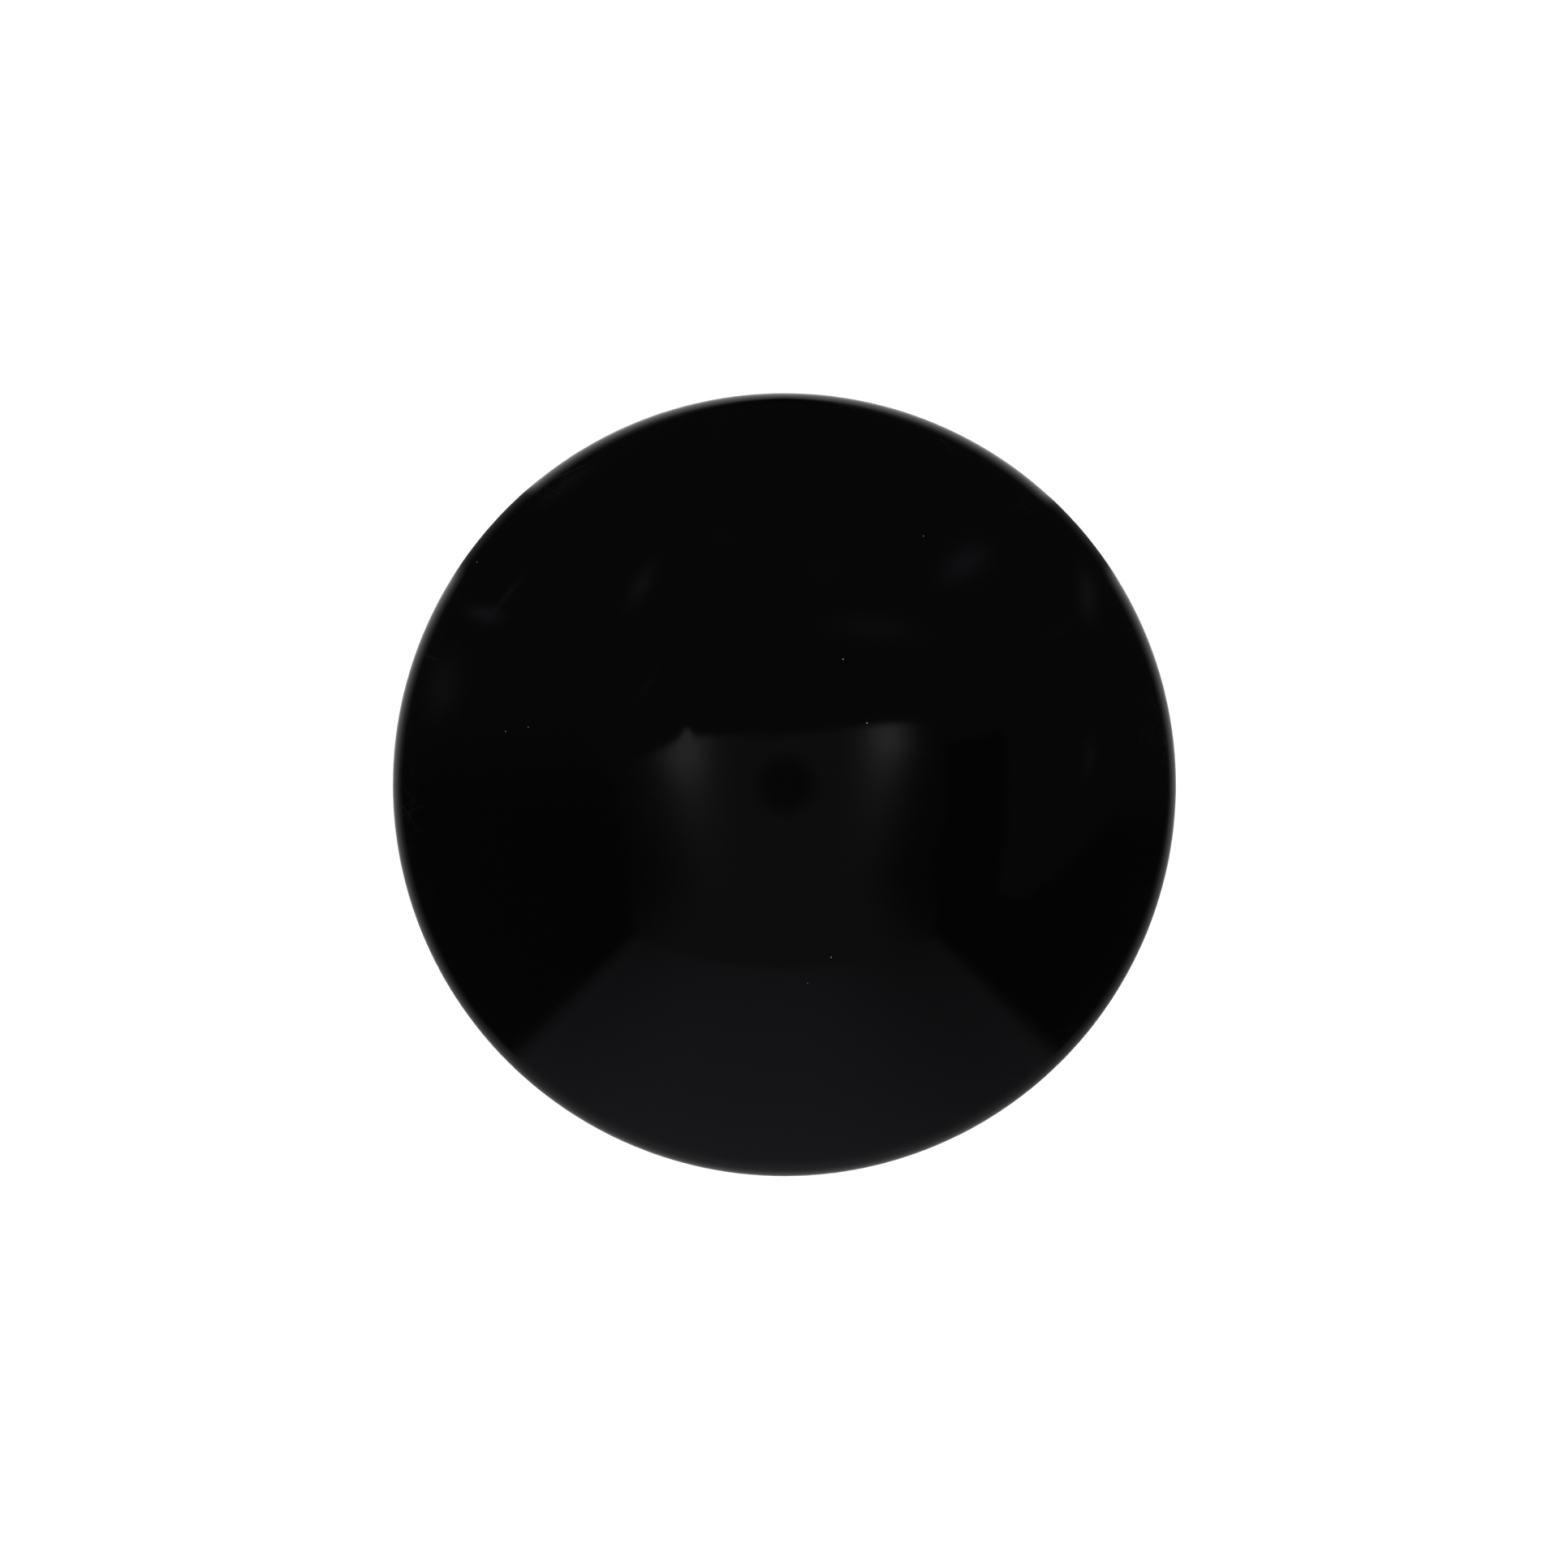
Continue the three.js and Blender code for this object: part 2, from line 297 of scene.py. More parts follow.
def dome_outline():
    """The shell's section, from the axis inside, round the foot and back to the top."""
    foot_z = DOME_LOW.z
    inside = crown_arc(INNER_CROWN_R, INNER_R - INNER_EDGE_R, CROWN_STEPS // 2)[::-1]
    inner_z = CROWN_CENTRE_Z + math.sqrt(INNER_CROWN_R**2 - INNER_R**2)
    skirt = rounded(
        [
            (*inside[-1], 0),
            (INNER_R, inner_z - INNER_EDGE_R / 2, 0),
            (INNER_R, foot_z, SMALL_ROUND),
            (BUTTON_R, foot_z, SIDE_FOOT_R),
            (BUTTON_R, WIDEST_Z, 0),
        ]
    )
    edge = arc(EDGE_CENTRE_R, WIDEST_Z, EDGE_R, 0, math.pi / 2 - EDGE_ANGLE, EDGE_STEPS)
    crown = crown_arc(CROWN_R, CROWN_R * math.sin(EDGE_ANGLE), CROWN_STEPS)
    return [*inside[:-1], *skirt[:-1], *edge[:-1], *crown]


def dome_ribs():
    """The screw bosses, the ring that holds the damper down, and the webs between them."""
    above = DOME_HIGH.z
    hold_r = DAMPER_HIGH.x - HOLD_INSET
    ribs = bar(
        "hold_ring",
        hold_r,
        DAMPER_HIGH.z + CONTACT_GAP,
        above,
        bore=hold_r - HOLD_T,
        steps=TURN_STEPS // 2,
    )
    parts = []
    for name, place, turn in screw_places():
        parts.append(bar("boss", BOSS_R, WELL_TOP_Z + CONTACT_GAP, above, place))
        low = Vector((hold_r - HOLD_T / 2, -WEB_T / 2, DAMPER_HIGH.z + WEB_RISE))
        parts.append(block("web", low, Vector((place.length, WEB_T / 2, above)), turn))
    carve(ribs, parts, "UNION")
    under = crown_arc(CROWN_R - WALL_T / 2, INNER_R, CROWN_STEPS // 2)
    room = turned("room", [(0.0, DOME_LOW.z), (INNER_R, DOME_LOW.z), *under])
    return carve(ribs, [room], "INTERSECT")


def make_dome(material):
    """The shell, joined with its ribs and bored for the screws."""
    dome = turned("dome_shell", dome_outline())
    carve(dome, [dome_ribs()], "UNION")
    top = SCREW_TIP_Z + PILOT_SPARE_L
    pilots = [
        bar("pilot", SCREW_R + PILOT_GAP, WELL_TOP_Z - CONTACT_GAP, top, place)
        for _, place, _ in screw_places()
    ]
    carve(dome, pilots, "DIFFERENCE")
    return finished(smooth(dome), "top_dome", material)


# ---------- Base plate ----------


def base_outline():
    """The plate's section: the felt's recess, the flange and the spigot inside the dome."""
    spigot_z = WIDEST_Z - SPIGOT_HEADROOM
    flange_z = BASE_LOW.z + FLANGE_T
    return rounded(
        [
            (0.0, RECESS_Z, 0),
            (RECESS_R, RECESS_Z, SMALL_ROUND),
            (RECESS_R, BASE_LOW.z, SMALL_ROUND),
            (FLANGE_R - FLANGE_CHAMFER, BASE_LOW.z, SMALL_ROUND),
            (FLANGE_R, BASE_LOW.z + FLANGE_CHAMFER, SMALL_ROUND),
            (FLANGE_R, flange_z, SMALL_ROUND),
            (SPIGOT_R, flange_z, SMALL_ROUND / 2),
            (SPIGOT_R, spigot_z, 2 * SMALL_ROUND),
            (SPIGOT_R - SPIGOT_T, spigot_z, SMALL_ROUND),
            (SPIGOT_R - SPIGOT_T, FLOOR_Z, SMALL_ROUND),
            (0.0, FLOOR_Z, 0),
        ]
    )


def make_base(material):
    """The plate with its fence, pin and screw wells, bored from below."""
    base = turned("base_moulding", base_outline())
    low = (RECESS_Z + FLOOR_Z) / 2
    fence_r = WEIGHT_R + SLIDE_GAP + FENCE_T
    fence_z = FLOOR_Z + FENCE_H
    top = BASE_HIGH.z
    pin = [(0.0, low, 0), (PIN_R, low, 0), (PIN_R, top, PIN_ROUND), (0.0, top, 0)]
    raised = [
        bar("fence", fence_r, low, fence_z, bore=fence_r - FENCE_T, steps=TURN_STEPS),
        turned("pin", rounded(pin), SMALL_TURN_STEPS),
    ]
    raised += [bar("well", WELL_R, low, WELL_TOP_Z, p) for _, p, _ in screw_places()]
    carve(base, raised, "UNION")
    holes = []
    through = WELL_TOP_Z + CONTACT_GAP
    for _, place, _ in screw_places():
        holes.append(bar("bore", HEAD_R + HEAD_GAP, BASE_LOW.z, HEAD_SEAT_Z, place))
        holes.append(bar("shank_hole", SCREW_R + SHANK_GAP, BASE_LOW.z, through, place))
    carve(base, holes, "DIFFERENCE")
    return finished(smooth(base), "base_plate", material)


# ---------- Weight, damper, film ----------


def make_weight(material):
    """A punched disc: the top edge is rolled over, and the lower one has a small burr round."""
    bore = PIN_R + SLIDE_GAP
    roll, burr = 0.6 * MM, 0.25 * MM
    outline = rounded(
        [
            (bore, WEIGHT_LOW.z, burr),
            (WEIGHT_R, WEIGHT_LOW.z, burr),
            (WEIGHT_R, WEIGHT_HIGH.z, roll),
            (bore, WEIGHT_HIGH.z, roll),
        ],
        steps=8,
    )
    weight = turned("steel_weight", outline, closed=True)
    return finished(smooth(weight), "weight_disc", material)


def disc_grid(name, radius, low, high, rings, edge):
    """A closed disc with fine rings on both faces and a rounded edge, ready to be pushed about."""
    steps = 4
    flat = [(radius - edge) * i / rings for i in range(rings + 1)]
    lower = arc(radius - edge, low + edge, edge, -math.pi / 2, 0, steps)
    upper = arc(radius - edge, high - edge, edge, 0, math.pi / 2, steps)
    wall = [(radius, low + edge + (high - low - 2 * edge) * i / steps) for i in range(1, steps)]
    outline = [*((r, low) for r in flat[:-1]), *lower, *wall, *upper]
    outline += [(r, high) for r in flat[-2::-1]]
    return turned(name, outline, 2 * TURN_STEPS)


def push(obj, move):
    """Moves each vertex by move(place), a vector."""
    for vertex in obj.data.vertices:
        vertex.co += move(vertex.co)
    return obj


def make_damper(material):
    """Closed-cell foam with a soft edge, pressed in under the hold-down ring."""
    ring_r = DAMPER_HIGH.x - HOLD_INSET - HOLD_T / 2
    radius = DAMPER_HIGH.x - 0.1 * MM
    edge, rings = 0.3 * MM, 70
    depth, spread = 0.12 * MM, 1.4 * MM
    cell_depth, cell_size = 0.03 * MM, 0.5 * MM
    damper = disc_grid("foam_damper", radius, DAMPER_LOW.z, DAMPER_HIGH.z, rings, edge)

    def press(place):
        dent = depth * math.exp(-(((place.xy.length - ring_r) / spread) ** 2))
        on_top = place.z > (DAMPER_LOW.z + DAMPER_HIGH.z) / 2
        cells = cell_depth * (noise.noise(place / cell_size) - 1)
        return Vector((0, 0, cells - dent)) if on_top else Vector((0, 0, -cells))

    push(damper, press)
    finished(smooth(damper), "damper_pad", material)
    return damper


def make_film(material):
    """The film sags a little under the screw wells, where nothing backs it."""
    dip, reach = 0.04 * MM, WELL_R
    edge, rings = 0.03 * MM, 60
    film = disc_grid("film_sheet", FILM_HIGH.x, FILM_LOW.z, FILM_HIGH.z, rings, edge)
    wells = [place.xy for _, place, _ in screw_places()]

    def sag(place):
        near = min((place.xy - well).length for well in wells)
        return Vector((0, 0, -dip * math.exp(-((near / reach) ** 2))))

    push(film, sag)
    return finished(smooth(film), "adhesive_film", material)


# ---------- Felt ----------


def make_felt(material):
    """Pressed felt: a lumpy matted face, a soft lower edge, and a frayed cut side."""
    edge, rings = 0.35 * MM, 96
    lump, lump_size = 0.07 * MM, 1.6 * MM
    matting, mat_size = 0.05 * MM, 0.45 * MM
    fray, fray_size, fray_w = 0.12 * MM, 0.7 * MM, 0.5 * MM
    felt = disc_grid("felt_disc", FELT_R, FELT_LOW.z, FELT_HIGH.z, rings, edge)

    def mat(place):
        rise = lump * (1 + noise.noise(place / lump_size)) / 2
        rise += matting * (1 + noise.noise(place / mat_size)) / 2
        low = place.z < (FELT_LOW.z + FELT_HIGH.z) / 2
        outward = place.xy.normalized() if place.xy.length > ON_AXIS else Vector((0, 0))
        side = max(0.0, place.xy.length - (FELT_R - fray_w)) / fray_w
        inward = -side * fray * (1 + noise.noise(place / fray_size)) / 2
        return Vector((*(outward * inward), rise if low else 0.0))

    push(felt, mat)
    finished(smooth(felt, math.radians(180)), "felt_pad", material)
    return felt


# ---------- Screws ----------


def thread_height(turn):
    """How far a self-tapping thread stands up, from 0 to 1, by its phase in turns."""
    foot_share, hollow = 0.55, 1.3
    from_crest = abs((turn + 0.5) % 1 - 0.5) * 2
    return max(0.0, 1 - from_crest / foot_share) ** hollow


def screw_body(name):
    """A pan-head screw round the origin, point up, with z = 0 under its head."""
    length = SCREW_TIP_Z - (HEAD_SEAT_Z - CONTACT_GAP)
    body_l = length - SCREW_TIP_L
    rings_per_turn, neck = 24, 0.25 * MM
    head_lip, fillet, head_steps = 0.1 * MM, 0.15 * MM, 10
    narrowing, tip_curve = 0.85, 1.5
    head_z = HEAD_ROUND_R - HEAD_H
    head = arc(HEAD_R - HEAD_ROUND_R, head_z, HEAD_ROUND_R, -math.pi / 2, 0, head_steps)
    rows = round(length / SCREW_PITCH * rings_per_turn)
    outline = [(0.0, -HEAD_H), *head, (HEAD_R - head_lip, 0.0), (SCREW_CORE_R + fillet, 0.0)]
    outline += [(SCREW_CORE_R, length * i / rows) for i in range(1, rows)]
    outline.append((0.0, length))
    screw = turned(name, outline, SMALL_TURN_STEPS)

    def thread(place):
        if place.z < neck / 2 or place.xy.length < ON_AXIS:
            return Vector()
        turn = math.atan2(place.y, place.x) / math.tau
        rise = thread_height(place.z / SCREW_PITCH - turn) * (SCREW_R - SCREW_CORE_R)
        rise *= min(1.0, (place.z - neck / 2) / neck)
        taper = max(0.0, (place.z - body_l) / SCREW_TIP_L)
        radius = (SCREW_CORE_R + rise) * (1 - narrowing * taper**tip_curve)
        return Vector((*(place.xy.normalized() * radius - place.xy), 0))

    push(screw, thread)
    return carve(screw, [cross_cutter()], "DIFFERENCE")


def cross_wing(turn):
    """One wing of a cross recess, shorter and narrower at its bottom."""
    above = 0.3 * MM
    top = (CROSS_L / 2, CROSS_W / 2, -HEAD_H - above)
    bottom = (CROSS_L / 5, CROSS_W / 3.2, -HEAD_H + CROSS_DEPTH)
    spin = Matrix.Rotation(turn, 3, "Z")
    bm = bmesh.new()
    rows = []
    for x, y, z in (top, bottom):
        corners = ((x, y, z), (-x, y, z), (-x, -y, z), (x, -y, z))
        rows.append([bm.verts.new(spin @ Vector(corner)) for corner in corners])
    for k in range(4):
        bm.faces.new((rows[0][k], rows[0][k - 3], rows[1][k - 3], rows[1][k]))
    bm.faces.new(rows[0])
    bm.faces.new(rows[1])
    bmesh.ops.recalc_face_normals(bm, faces=bm.faces)
    return meshed("wing", bm)


def cross_cutter():
    """The two crossed wings of a screw's recess."""
    return carve(cross_wing(0), [cross_wing(math.pi / 2)], "UNION")


def make_screws(material):
    """Each screw in its own place, turned as the CAD's is."""
    for number, (node, place, turn) in enumerate(screw_places(), 1):
        screw = screw_body(f"tapping_screw_{number}")
        lift = Matrix.Translation(place + Vector((0, 0, HEAD_SEAT_Z - CONTACT_GAP)))
        screw.data.transform(lift @ Matrix.Rotation(turn, 4, "Z"))
        finished(smooth(screw), node, material)


# ---------- Materials ----------


class Field:
    """A number that varies over a surface, built from Math nodes by plain arithmetic."""

    def __init__(self, tree, socket):
        self.tree, self.socket = tree, socket

    def math(self, operation, *others):
        node = self.tree.nodes.new("ShaderNodeMath")
        node.operation = operation
        for slot, value in zip(node.inputs, (self, *others)):
            feed(self.tree, slot, value)
        return Field(self.tree, node.outputs[0])

    def __add__(self, other):
        return self.math("ADD", other)

    def __sub__(self, other):
        return self.math("SUBTRACT", other)

    def __mul__(self, other):
        return self.math("MULTIPLY", other)

    def __truediv__(self, other):
        return self.math("DIVIDE", other)

    def step(self, start, end, low=0.0, high=1.0):
        """A smooth step from low at start to high at end. start may be the larger."""
        node = self.tree.nodes.new("ShaderNodeMapRange")
        node.interpolation_type = "SMOOTHSTEP"
        if start > end:
            start, end, low, high = end, start, high, low
        for slot, value in zip(node.inputs, (self, start, end, low, high)):
            feed(self.tree, slot, value)
        return Field(self.tree, node.outputs[0])

    def bell(self, middle, width):
        """1 at middle, and falling smoothly to almost nothing two widths away."""
        away = (self - middle) / width
        return (away * away * -1.0).math("EXPONENT")


def feed(tree, slot, value):
    """Links a field to a socket, or sets the socket to a plain number."""
    if isinstance(value, Field):
        tree.links.new(value.socket, slot)
    else:
        slot.default_value = value


def coordinates(tree, kind="Object"):
    """A texture coordinate's socket, and its x, y and z as fields."""
    place = tree.nodes.new("ShaderNodeTexCoord").outputs[kind]
    split = tree.nodes.new("ShaderNodeSeparateXYZ")
    tree.links.new(place, split.inputs[0])
    return place, [Field(tree, socket) for socket in split.outputs]


def vector_length(x, y):
    """The length of the vector whose two parts are fields."""
    return (x * x + y * y).math("SQRT")


def blended(tree, mask, low, high):
    """A colour that goes from low to high as mask goes from 0 to 1."""
    node = tree.nodes.new("ShaderNodeMix")
    node.data_type = "RGBA"
    feed(tree, node.inputs["Factor"], mask)
    for slot, value in (("A", low), ("B", high)):
        socket = next(i for i in node.inputs if i.name == slot and i.type == "RGBA")
        if isinstance(value, bpy.types.NodeSocket):
            tree.links.new(value, socket)
        else:
            socket.default_value = (*value, 1)
    return next(o for o in node.outputs if o.type == "RGBA")


class Surface:
    """A material with a Principled shader, and textures sized in metres on the piece."""

    def __init__(self, name, **uniform):
        self.material = bpy.data.materials.new(name)
        self.material.use_nodes = True
        self.tree = self.material.node_tree
        self.shader = self.tree.nodes["Principled BSDF"]
        for key, value in uniform.items():
            title = key.replace("_", " ").title().replace("Ior", "IOR")
            self.shader.inputs[title].default_value = value
        self.place, (self.x, self.y, self.z) = coordinates(self.tree)

    def vector(self, x, y, z=0.0):
        node = self.tree.nodes.new("ShaderNodeCombineXYZ")
        for slot, value in zip(node.inputs, (x, y, z)):
            feed(self.tree, slot, value)
        return node.outputs[0]

    def radius(self):
        return vector_length(self.x, self.y)

    def noise(self, size, detail=3.0, roughness=0.5, place=None):
        node = self.tree.nodes.new("ShaderNodeTexNoise")
        node.inputs["Scale"].default_value = 1 / size
        node.inputs["Detail"].default_value = detail
        node.inputs["Roughness"].default_value = roughness
        self.tree.links.new(place or self.place, node.inputs["Vector"])
        return Field(self.tree, node.outputs["Fac"])

    def cells(self, size, place=None):
        """The distance in metres to the nearest cell point, and a random number per cell."""
        node = self.tree.nodes.new("ShaderNodeTexVoronoi")
        node.inputs["Scale"].default_value = 1 / size
        self.tree.links.new(place or self.place, node.inputs["Vector"])
        pick = self.tree.nodes.new("ShaderNodeSeparateColor")
        self.tree.links.new(node.outputs["Color"], pick.inputs[0])
        return Field(self.tree, node.outputs["Distance"]) * size, Field(self.tree, pick.outputs[0])

    def hairlines(self, angle, length, width, share):
        """1 on sparse straight hairlines that run at an angle in plan, and 0 elsewhere."""
        c, s = math.cos(angle), math.sin(angle)
        along = (self.x * c + self.y * s) / length
        across = (self.y * c - self.x * s) / width
        return self.cells(1.0, self.vector(along, across))[1].step(1 - share, 1 - share / 2)

    def colour(self, mask, low, high):
        return blended(self.tree, mask, low, high)

    def set(self, colour, roughness, bumps):
        """The finished material, with a colour, a roughness and a stack of bumps, each with
        its height and its distance in metres."""
        self.tree.links.new(colour, self.shader.inputs["Base Color"])
        feed(self.tree, self.shader.inputs["Roughness"], roughness)
        normal = None
        for height, distance in bumps:
            node = self.tree.nodes.new("ShaderNodeBump")
            node.inputs["Distance"].default_value = distance
            feed(self.tree, node.inputs["Height"], height)
            if normal:
                self.tree.links.new(normal, node.inputs["Normal"])
            normal = node.outputs["Normal"]
        self.tree.links.new(normal, self.shader.inputs["Normal"])
        return self.material


def gloss_black():
    """Polished black plastic, with faint handling hairlines and a few specks of dust.
    Inside, where the mould isn't polished, it is duller."""
    s = Surface("gloss_black", ior=1.5)
    black, grey_dust = (0.0003, 0.0003, 0.00032), (0.10, 0.10, 0.097)
    hair = s.hairlines(0.4, 9 * MM, 0.05 * MM, 0.012)
    for angle, hair_l in ((1.3, 6 * MM), (2.2, 12 * MM), (2.8, 5 * MM)):
        hair = hair.math("MAXIMUM", s.hairlines(angle, hair_l, 0.04 * MM, 0.01))
    hair = hair * s.noise(7 * MM, 2).step(0.42, 0.62)
    distance, pick = s.cells(1.1 * MM)
    dust = distance.step(0.075 * MM, 0.045 * MM) * pick.step(0.984, 0.988)
    smudge = s.noise(16 * MM, 4, 0.6).step(0.35, 0.75)
    worn = s.z.step(WIDEST_Z, DOME_LOW.z) * s.noise(1.5 * MM, 4).step(0.45, 0.7)
    from_centre = vector_length(s.radius(), s.z - CROWN_CENTRE_Z)
    inside = from_centre.math("LESS_THAN", CROWN_R - WALL_T / 2)
    inside = inside * s.radius().math("LESS_THAN", BUTTON_R - WALL_T / 2)
    flow = s.noise(1.0, 3, 0.6, s.vector(s.radius() / (7 * MM), s.z / (2 * MM)))
    roughness = smudge * 0.02 + 0.055 + hair * 0.12 + worn * 0.09 + dust * 0.6
    roughness = roughness + inside * (flow * 0.12 + 0.16)
    colour = s.colour(dust, black, grey_dust)
    peel = s.noise(5 * MM, 1)
    return s.set(colour, roughness, [(peel, 0.0004 * MM), (hair * -1.0, 0.0006 * MM)])


def satin_black():
    """Moulded black with a fine spark-eroded grain, scuffed lighter along the flange."""
    s = Surface("satin_black", ior=1.5)
    dark, light = (0.0045, 0.0045, 0.0048), (0.007, 0.007, 0.0073)
    scuffed, scuff_w = (0.03, 0.03, 0.031), 0.9 * MM
    grain = s.noise(0.22 * MM, 4, 0.65)
    scuff = s.radius().step(FLANGE_R - scuff_w, FLANGE_R)
    scuff = scuff * s.noise(1.1 * MM, 5, 0.7).step(0.52, 0.7)
    tone = s.noise(9 * MM, 3).step(0.3, 0.7)
    colour = s.colour(scuff * 0.7, s.colour(tone, dark, light), scuffed)
    roughness = grain * 0.16 + 0.34 + scuff * 0.15
    return s.set(colour, roughness, [(grain, 0.02 * MM)])


def wool_felt():
    """Matted wool fibres, with pale lint caught in them."""
    s = Surface("wool_felt", sheen_weight=0.22, sheen_roughness=0.5, specular_ior_level=0.2)
    dark, light = (0.003, 0.003, 0.004), (0.020, 0.020, 0.023)
    pale_lint = (0.12, 0.12, 0.125)
    directions, fibre_l, fibre_w, fibre_h = 6, 0.8 * MM, 0.06 * MM, 0.2 * MM
    drift = s.noise(2.5 * MM, 2) - 0.5
    fibres = None
    for number in range(directions):
        angle = number * math.pi / directions + 0.2
        c, t = math.cos(angle), math.sin(angle)
        along = (s.x * c + s.y * t) / fibre_l + drift * 2.0
        across = (s.y * c - s.x * t) / fibre_w + drift * 6.0
        strand = s.noise(1.0, 1, 0.5, s.vector(along, across, s.z / fibre_h + number * 3.7))
        fibres = strand if fibres is None else fibres.math("MAXIMUM", strand)
    clumps = s.noise(1.1 * MM, 4, 0.65)
    lint = s.hairlines(1.1, 1.4 * MM, 0.05 * MM, 0.0022)
    lint = lint.math("MAXIMUM", s.hairlines(2.6, 1.1 * MM, 0.05 * MM, 0.0022))
    tone = fibres.step(0.55, 0.8) * 0.65 + clumps * 0.35
    colour = s.colour(lint * 0.5, s.colour(tone, dark, light), pale_lint)
    return s.set(colour, clumps * 0.1 + 0.88, [(clumps, 0.07 * MM), (fibres, 0.10 * MM)])


def mill_steel():
    """Punched strip: a rolled grain across the faces and a torn band round the cut edge."""
    s = Surface("mill_steel", metallic=1.0)
    dark, light, brown = (0.40, 0.41, 0.43), (0.56, 0.57, 0.58), (0.26, 0.23, 0.20)
    rolled = s.noise(1.0, 3, 0.6, s.vector(s.x / (6 * MM), s.y / (0.09 * MM)))
    middle = (WEIGHT_LOW.z + WEIGHT_HIGH.z) / 2
    torn = s.radius().step(WEIGHT_R - 0.05 * MM, WEIGHT_R - 0.02 * MM)
    torn = torn * s.z.step(middle + 1 * MM, middle)
    oxide = s.noise(5 * MM, 5, 0.6).step(0.55, 0.72)
    colour = s.colour(oxide * 0.5, s.colour(rolled, dark, light), brown)
    roughness = rolled * 0.18 + 0.24 + torn * 0.3 + oxide * 0.18
    grit = s.noise(0.12 * MM, 3)
    return s.set(colour, roughness, [(rolled, 0.008 * MM), (grit * torn, 0.03 * MM)])


def zinc_plate():
    """Bright zinc with a faint blue and straw passivation."""
    s = Surface("zinc_plate", metallic=1.0)
    blue, straw = (0.66, 0.69, 0.74), (0.74, 0.71, 0.62)
    film = s.noise(1.6 * MM, 3).step(0.35, 0.65)
    grain = s.noise(0.15 * MM, 3)
    return s.set(s.colour(film, blue, straw), grain * 0.14 + 0.2, [(grain, 0.004 * MM)])


def closed_cell_foam():
    """Fine closed cells, a few of them cut open at the surface."""
    s = Surface("closed_cell_foam", specular_ior_level=0.3)
    dark, light = (0.018, 0.018, 0.020), (0.045, 0.045, 0.048)
    distance, pick = s.cells(0.28 * MM)
    cell = distance.step(0.02 * MM, 0.16 * MM)
    tone = pick * 0.5 + s.noise(3 * MM, 3) * 0.5
    return s.set(s.colour(tone, dark, light), cell * 0.1 + 0.85, [(cell, 0.05 * MM)])


def transfer_film():
    """Straw-coloured acrylic adhesive on a tissue whose fibres show faintly."""
    s = Surface("transfer_film", ior=1.47)
    dark, light, blister = (0.36, 0.30, 0.17), (0.50, 0.44, 0.29), (0.62, 0.58, 0.46)
    fibre_l, fibre_w = 2.2 * MM, 0.12 * MM
    tissue = s.noise(1.0, 3, 0.6, s.vector(s.x / fibre_l, s.y / fibre_w))
    crossing = s.noise(1.0, 3, 0.6, s.vector(s.x / fibre_w, s.y / fibre_l))
    tissue = tissue.math("MAXIMUM", crossing)
    bubbles, pick = s.cells(1.8 * MM)
    bubble = bubbles.step(0.35 * MM, 0.2 * MM) * pick.step(0.75, 0.8)
    base = s.colour(tissue.step(0.45, 0.75), dark, light)
    colour = s.colour(bubble * 0.5, base, blister)
    return s.set(colour, tissue * 0.2 + 0.22, [(tissue, 0.01 * MM), (bubble, 0.02 * MM)])


# ---------- Studio ----------

# The plan view's disc takes this share of the picture's width, as the camera sees its rim.
DISC_SHARE = 0.4995
# It sits this share of the width right of the middle, and this share below it.
OFF_MIDDLE_X, OFF_MIDDLE_Y = 0.00023, 0.00040
LENS_MM, SENSOR_MM = 85.0, 36.0
PANEL_AWAY, PANEL_H, PANEL_TOP_H = 0.60, 0.90, 0.733
PANEL_HALF_W = PANEL_AWAY * math.tan(math.radians(45.6))
BOARD_Z, BOARD_MIDDLE_Y, BOARD_W, BOARD_L = 0.90, -0.35, 1.8, 1.6
FLAG_AWAY, FLAG_H, FLAG_L, FLAG_END_Y = 0.90, 1.6, 2.6, 0.5
GLINT_AWAY = 2.0
ROOM_GLOW, LOW_ROOM_GLOW = 0.0392, 0.0335

# The wash of each lamp on the board: its x, the y where it starts to fade, its width
# and its strength.
LAMPS = ((-0.345, 0.08, 0.088, 0.33), (0.362, 0.137, 0.085, 0.35))

# The faint streaks: azimuth, lean and spin in degrees, length and width in metres, power,
# and how blue each one is.
GLINTS = (
    (124.8, 53.9, 125, 0.32, 0.12, 0.072, 0.7),
    (51.0, 62.3, -10, 0.44, 0.18, 0.070, 1.0),
    (61.8, 38.2, -63, 0.60, 0.20, 0.036, 0.0),
    (150.4, 79.3, -170, 0.32, 0.09, 0.078, 1.0),
    (146.2, 76.4, 80, 0.34, 0.035, 0.070, 0.0),
    (164.8, 81.5, -75, 0.34, 0.30, 0.044, 0.3),
    (4.8, 68.3, 70, 0.22, 0.09, 0.038, 0.0),
    (145.5, 36.0, -85, 0.26, 0.04, 0.030, 0.0),
    (79.0, 46.5, 20, 0.22, 0.20, 0.012, 0.0),
    (31.5, 82.0, 40, 0.34, 0.14, 0.060, 0.5),
    (103.6, 55.0, 60, 0.20, 0.12, 0.009, 0.0),
    (125.0, 86.5, 90, 0.34, 0.12, 0.030, 0.5),
    (29.6, 70.6, 5, 0.40, 0.05, 0.014, 0.0),
)


def make_camera():
    """Straight above the button, as far away as makes its rim fill its share of the width."""
    data = bpy.data.cameras.new("camera")
    data.lens, data.sensor_width = LENS_MM, SENSOR_MM
    data.clip_start, data.clip_end = 0.01, 20
    slant = math.atan(DISC_SHARE * SENSOR_MM / LENS_MM / 2)
    above = (EDGE_CENTRE_R * math.cos(slant) + EDGE_R) / math.sin(slant)
    camera = piece("camera", data)
    camera.location = (0, 0, WIDEST_Z + above)
    data.shift_x, data.shift_y = -OFF_MIDDLE_X, OFF_MIDDLE_Y
    bpy.context.scene.camera = camera


